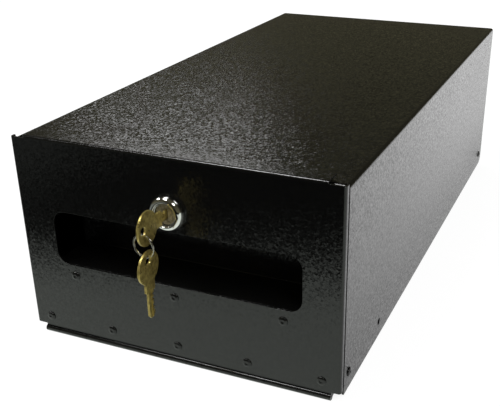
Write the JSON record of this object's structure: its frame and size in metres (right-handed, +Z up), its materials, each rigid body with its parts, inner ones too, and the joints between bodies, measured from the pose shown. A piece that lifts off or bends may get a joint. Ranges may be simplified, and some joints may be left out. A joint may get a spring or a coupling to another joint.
{
  "type": "under desk drop-door safe",
  "caption": "Folded steel box safe with a slotted drop-down front door on a continuous hinge, a keyed cam lock and a spare key on a ring.",
  "frame": {"origin": "under the middle of the whole object's box, level with the hinge barrel's lowest line", "axes": "+X to the right of someone facing the door, +Y from the door to the rear wall, +Z up"},
  "size_m": [0.2526, 0.5412, 0.1613],
  "materials": {
    "black_coat": "textured black powder coat",
    "black_steel": "smooth black",
    "zinc": "bright zinc plate",
    "chrome": "polished chrome plate",
    "brass": "worn brass"
  },
  "bodies": {
    "body": {"body_cover": "black_coat", "floor_pan": "black_coat", "rear_panel": "black_coat", "hinge_floor_leaf": "black_steel", "hinge_pin": "zinc", "side_rivet_left_front": "black_steel", "side_rivet_left_rear": "black_steel", "side_rivet_right_front": "black_steel", "side_rivet_right_rear": "black_steel", "floor_rivet_1": "black_steel", "floor_rivet_2": "black_steel", "floor_rivet_3": "black_steel", "floor_rivet_4": "black_steel", "floor_rivet_5": "black_steel"},
    "door": {"door_panel": "black_coat", "hinge_door_leaf": "black_steel", "slot_baffle": "black_coat", "hinge_rivet_1": "black_steel", "hinge_rivet_2": "black_steel", "hinge_rivet_3": "black_steel", "hinge_rivet_4": "black_steel", "hinge_rivet_5": "black_steel", "baffle_rivet_1": "black_steel", "baffle_rivet_2": "black_steel", "baffle_rivet_3": "black_steel", "lock_cylinder": "chrome", "lock_nut": "zinc"},
    "plug": {"lock_plug": "brass", "lock_cam": "zinc", "cam_washer": "zinc", "cam_screw": "zinc"},
    "inserted_key": {"key": "brass"},
    "ring": {"key_ring": "zinc"},
    "hanging_key": {"spare_key": "brass"}
  },
  "joints": [
    {"name": "door_hinge", "type": "hinge", "parent": "body", "child": "door", "pos_m": [0, -0.22375, 0.0026], "axis": [1, 0, 0], "range_deg": [0, 180]},
    {"name": "lock_turn", "type": "hinge", "parent": "door", "child": "plug", "pos_m": [0, -0.22595, 0.1217], "axis": [0, 1, 0], "range_deg": [0, 90]},
    {"name": "key_slide", "type": "slide", "parent": "plug", "child": "inserted_key", "axis": [0, -1, 0], "range_m": [0, 0.014]},
    {"name": "ring_swing", "type": "hinge", "parent": "inserted_key", "child": "ring", "pos_m": [0, -0.25855, 0.11949], "axis": [1, 0, 0], "range_deg": [-90, 20]},
    {"name": "spare_key_swing", "type": "hinge", "parent": "ring", "child": "hanging_key", "pos_m": [0.002, -0.25855, 0.10374], "axis": [1, 0, 0], "range_deg": [-60, 14]}
  ]
}
